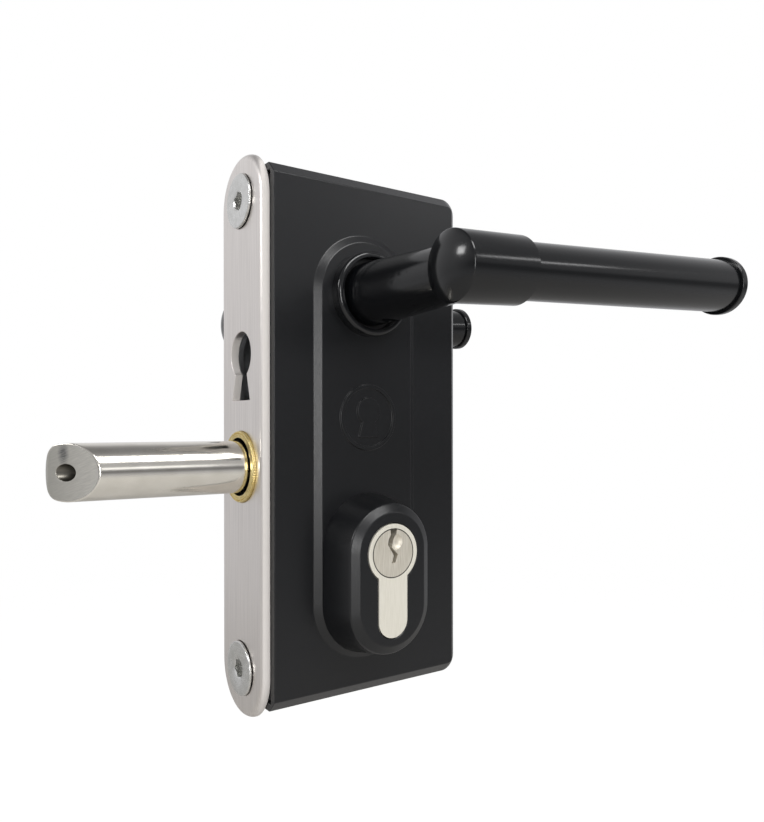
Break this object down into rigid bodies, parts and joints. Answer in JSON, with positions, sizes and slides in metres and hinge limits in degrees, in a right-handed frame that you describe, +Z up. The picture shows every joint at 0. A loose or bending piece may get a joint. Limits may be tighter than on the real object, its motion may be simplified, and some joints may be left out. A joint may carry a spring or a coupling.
{
  "type": "gate lock",
  "caption": "Surface gate lock with a bevelled round latch bolt, lever handles on both sides and a euro profile cylinder in tapered guards.",
  "frame": {"origin": "where the bolt's axis crosses the front of the faceplate", "axes": "+Z is up, the bolt points along -X, and the front (outside) handle is on the -Y side"},
  "size_m": [0.1963, 0.1514, 0.1672],
  "materials": {
    "stainless_brushed": "brushed along its length",
    "stainless_turned": "satin, turned",
    "zinc_plated_screws": "bright zinc",
    "zinc_plated_steel": "zinc plated sheet",
    "ground_steel": "ground",
    "spring_steel": "plain wire",
    "brass": "machined",
    "black_powder_coat": "satin powder coat",
    "black_satin_coat": "smooth satin coat",
    "black_nylon": "moulded",
    "satin_nickel": "satin nickel"
  },
  "bodies": {
    "lock": {"faceplate": "stainless_brushed", "faceplate_screws": "zinc_plated_screws", "fixing_blocks": "zinc_plated_steel", "bolt_bush": "brass", "front_cover": "black_powder_coat", "rear_cover": "black_powder_coat", "cover_screws": "zinc_plated_screws", "lock_case": "zinc_plated_steel", "case_lid": "zinc_plated_steel", "case_posts": "zinc_plated_steel", "bolt_springs": "spring_steel", "cylinder_body": "satin_nickel", "cylinder_screw": "zinc_plated_screws", "front_rose": "black_satin_coat", "rear_rose": "black_satin_coat", "front_neck_bush": "black_nylon", "rear_neck_bush": "black_nylon", "front_guard": "black_powder_coat", "rear_guard": "black_powder_coat"},
    "handles": {"hub": "zinc_plated_steel", "spindle": "ground_steel", "grub_screws": "zinc_plated_screws", "front_handle_neck": "black_satin_coat", "rear_handle_neck": "black_satin_coat", "front_handle_grip": "black_satin_coat", "rear_handle_grip": "black_satin_coat", "front_handle_end_cap": "black_satin_coat", "rear_handle_end_cap": "black_satin_coat"},
    "bolt": {"bolt": "stainless_turned", "bolt_adjuster": "zinc_plated_screws", "bolt_carriage": "zinc_plated_steel", "carriage_pins": "ground_steel"},
    "key_front": {"front_plug": "satin_nickel", "clutch": "ground_steel", "cylinder_cam": "zinc_plated_steel"},
    "key_rear": {"rear_plug": "satin_nickel"},
    "deadlock": {"deadlock_slide": "zinc_plated_steel", "slide_pins": "ground_steel"}
  },
  "joints": [
    {"name": "handles_turn", "type": "hinge", "parent": "lock", "child": "handles", "pos_m": [0.0333, 0, 0.0517], "axis": [0, 1, 0], "range_deg": [0, 38], "stiffness_Nm_per_rad": 1.2, "springref_deg": -22.92},
    {"name": "bolt_slide", "type": "slide", "parent": "lock", "child": "bolt", "axis": [1, 0, 0], "range_m": [0, 0.01701], "deforming": ["bolt_springs"]},
    {"name": "front_key_turn", "type": "hinge", "parent": "lock", "child": "key_front", "pos_m": [0.0333, 0, -0.0246], "axis": [0, -1, 0], "range_deg": [0, 38]},
    {"name": "rear_key_turn", "type": "hinge", "parent": "lock", "child": "key_rear", "pos_m": [0.0333, 0, -0.0246], "axis": [0, -1, 0], "continuous": true},
    {"name": "deadlock_lift", "type": "slide", "parent": "lock", "child": "deadlock", "axis": [0, 0, 1], "range_m": [0, 0.0085]}
  ],
  "couplings": [
    {"joint": "bolt_slide", "follows": "handles_turn", "m_per_rad": 0.025632},
    {"joint": "front_key_turn", "follows": "deadlock_lift", "rad_per_m": 78.012}
  ]
}
